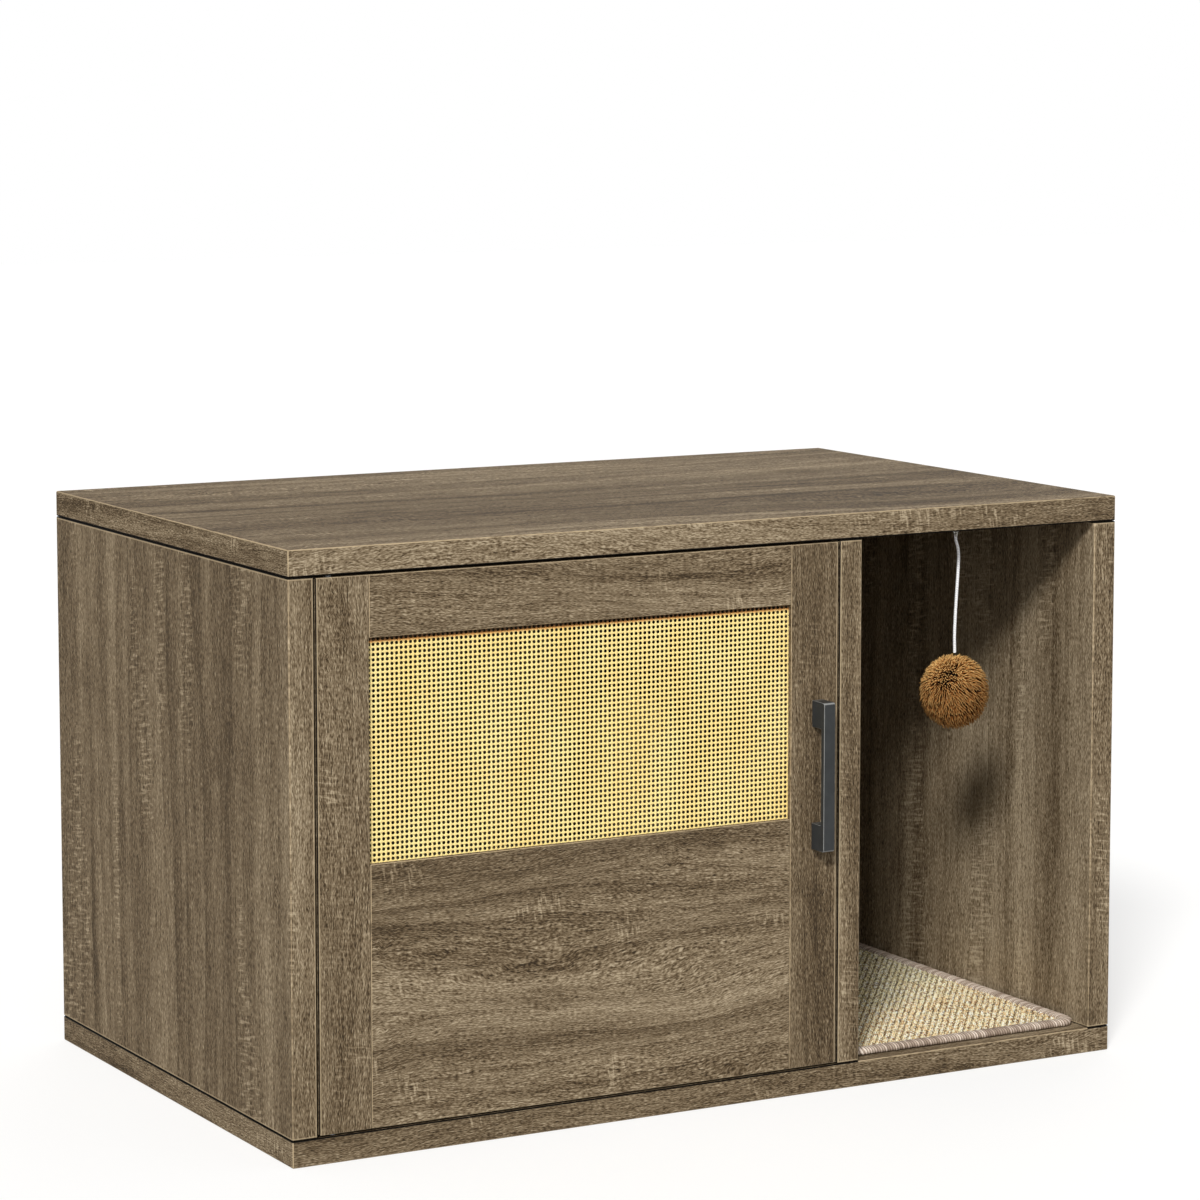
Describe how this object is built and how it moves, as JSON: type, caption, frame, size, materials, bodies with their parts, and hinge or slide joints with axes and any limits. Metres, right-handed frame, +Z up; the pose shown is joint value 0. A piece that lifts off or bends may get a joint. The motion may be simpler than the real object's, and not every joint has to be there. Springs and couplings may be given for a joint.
{
  "type": "cat litter box cabinet",
  "caption": "Low wooden bench cabinet that hides a litter tray: a hinged door with a cane window on the left, an open cat entrance with a mat and a hanging pompom on the right.",
  "frame": {"origin": "on the floor, at the middle of the bottom panel's footprint", "axes": "+X to the right seen from the front, +Y from the front to the rear, +Z up"},
  "size_m": [0.9, 0.5726, 0.56],
  "materials": {
    "oak_laminate": "matt grey-brown oak laminate with embossed grain",
    "back_sheet": "thin fibreboard sheet with the same paper face",
    "zinc": "zinc plated",
    "steel": "bright plated steel",
    "nylon": "moulded off-white nylon",
    "charcoal_metal": "matt charcoal powder coat",
    "cane": "woven pale yellow cane, satin",
    "cord": "white round cord",
    "pompom": "trimmed golden brown strands",
    "sisal": "coarse woven sisal",
    "binding": "twisted yarn binding"
  },
  "bodies": {
    "carcass": {"top_panel": "oak_laminate", "bottom_panel": "oak_laminate", "left_side_panel": "oak_laminate", "right_side_panel": "oak_laminate", "divider_panel": "oak_laminate", "back_panel": "back_sheet", "cam_lock_left_front": "zinc", "cam_lock_left_rear": "zinc", "cam_lock_divider_front": "zinc", "cam_lock_divider_rear": "zinc", "cam_lock_right_front": "zinc", "cam_lock_right_rear": "zinc", "cam_bolt_left_front": "steel", "cam_bolt_left_rear": "steel", "cam_bolt_divider_front": "steel", "cam_bolt_divider_rear": "steel", "cam_bolt_right_front": "steel", "cam_bolt_right_rear": "steel", "long_screw_left_front": "steel", "long_screw_left_rear": "steel", "long_screw_divider_front": "steel", "long_screw_divider_rear": "steel", "long_screw_right_front": "steel", "long_screw_right_rear": "steel", "pivot_pin_lower": "steel", "pivot_pin_upper": "steel", "magnetic_catch": "nylon", "catch_screw_left": "steel", "catch_screw_right": "steel", "screw_eye": "zinc", "sisal_mat": "sisal", "mat_binding": "binding"},
    "door": {"door_left_stile": "oak_laminate", "door_right_stile": "oak_laminate", "door_top_rail": "oak_laminate", "door_lower_panel": "oak_laminate", "cane_bead_top": "oak_laminate", "cane_bead_bottom": "oak_laminate", "cane_bead_left": "oak_laminate", "cane_bead_right": "oak_laminate", "cane_webbing": "cane", "pivot_bush_lower": "nylon", "pivot_bush_upper": "nylon", "handle": "charcoal_metal", "handle_screw_lower": "steel", "handle_screw_upper": "steel", "strike_plate": "zinc", "strike_screw": "steel"},
    "toy_ring": {"hanging_ring": "nylon"},
    "toy": {"toy_cord": "cord", "pompom": "pompom"}
  },
  "joints": [
    {"name": "door_hinge", "type": "hinge", "parent": "carcass", "child": "door", "pos_m": [-0.4089, -0.269, 0.28], "axis": [0, 0, -1], "range_deg": [0, 110]},
    {"name": "toy_fore_aft", "type": "hinge", "parent": "carcass", "child": "toy_ring", "pos_m": [0.28875, -0.2325, 0.5277], "axis": [1, 0, 0], "range_deg": [-65, 65]},
    {"name": "toy_sideways", "type": "hinge", "parent": "toy_ring", "child": "toy", "pos_m": [0.28875, -0.2325, 0.5246], "axis": [0, 1, 0], "range_deg": [-38, 38]}
  ]
}
